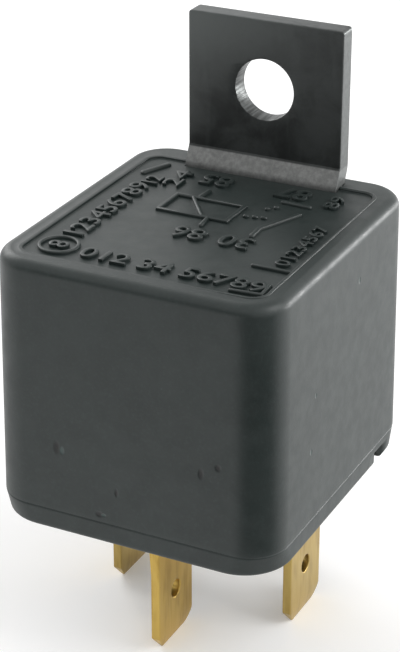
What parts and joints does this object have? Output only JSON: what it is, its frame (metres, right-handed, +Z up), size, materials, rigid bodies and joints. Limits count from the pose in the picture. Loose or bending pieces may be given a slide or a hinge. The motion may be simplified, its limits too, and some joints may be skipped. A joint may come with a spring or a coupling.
{
  "type": "automotive relay",
  "caption": "Plug-in automotive relay: moulded cover over a sprung armature and contacts, flat blade terminals below and a drilled steel mounting bracket at the rear.",
  "frame": {"origin": "centre of the bounding box at the plane of the blade tips", "axes": "+X to the right along the front face, +Y towards the mounting bracket at the rear, +Z up from the blade tips to the bracket"},
  "size_m": [0.026, 0.0292, 0.0511],
  "materials": {
    "cover_plastic": "satin moulded",
    "base_plastic": "satin moulded",
    "bracket_steel": "black oxide, sheared edges",
    "load_brass": "rolled and stamped",
    "coil_blade_brass": "rolled and stamped",
    "magnet_steel": "zinc plated",
    "core_steel": "turned and nickel plated",
    "bobbin_plastic": "natural moulded",
    "winding_copper": "enamelled wire",
    "lead_copper": "enamelled wire, tinned at the post",
    "armature_steel": "zinc plated",
    "hinge_spring_steel": "rolled spring strip",
    "contact_spring_bronze": "rolled spring strip",
    "rivet_steel": "headed",
    "rivet_brass": "headed",
    "contact_silver": "domed silver alloy",
    "stop_steel": "stamped",
    "braid_copper": "braided strands"
  },
  "bodies": {
    "housing": {"cover": "cover_plastic", "base": "base_plastic", "bracket": "bracket_steel", "terminal_30": "load_brass", "terminal_85": "coil_blade_brass", "terminal_86": "coil_blade_brass", "terminal_87": "load_brass", "yoke": "magnet_steel", "core": "core_steel", "bobbin": "bobbin_plastic", "coil": "winding_copper", "coil_lead_85": "lead_copper", "coil_lead_86": "lead_copper", "hinge_spring": "hinge_spring_steel", "hinge_rivet": "rivet_steel", "frame_rivet": "rivet_brass", "fixed_contact": "contact_silver", "back_stop": "stop_steel", "braid": "braid_copper"},
    "armature": {"armature": "armature_steel", "contact_spring": "contact_spring_bronze", "armature_rivets": "rivet_steel", "moving_contact": "contact_silver"}
  },
  "joints": [
    {"name": "armature_hinge", "type": "hinge", "parent": "housing", "child": "armature", "pos_m": [0, -0.0115, 0.03165], "axis": [-1, 0, 0], "range_deg": [0, 3.2], "stiffness_Nm_per_rad": 0.02, "springref_deg": -8.59, "deforming": ["hinge_spring", "braid"]}
  ]
}
